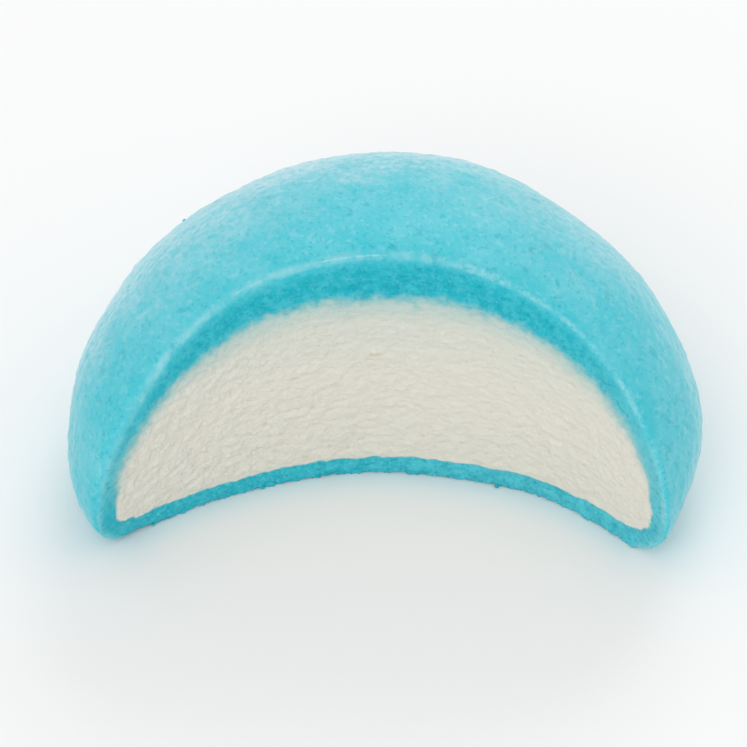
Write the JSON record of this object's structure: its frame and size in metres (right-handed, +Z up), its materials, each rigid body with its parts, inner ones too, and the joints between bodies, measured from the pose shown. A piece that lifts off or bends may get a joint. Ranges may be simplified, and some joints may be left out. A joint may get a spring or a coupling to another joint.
{
  "type": "mochi ice cream",
  "caption": "Low dome of soft turquoise rice dough round off-white ice cream, with a large round bite out of the front that leaves a crescent.",
  "frame": {"origin": "under the middle of the whole part's box, on the surface it rests on", "axes": "+Z up, the bite opens towards -Y, and the two tips of the crescent lie to -X and +X"},
  "size_m": [0.0442, 0.0318, 0.0224],
  "materials": {
    "mochi_dough": "soft rice dough, matt and lightly dusted outside, darker and damp where it is bitten",
    "vanilla_ice_cream": "matt frozen cream with fine wavy flakes"
  },
  "bodies": {
    "root": {"mochi_wrapper": "mochi_dough", "ice_cream_filling": "vanilla_ice_cream"}
  },
  "joints": []
}
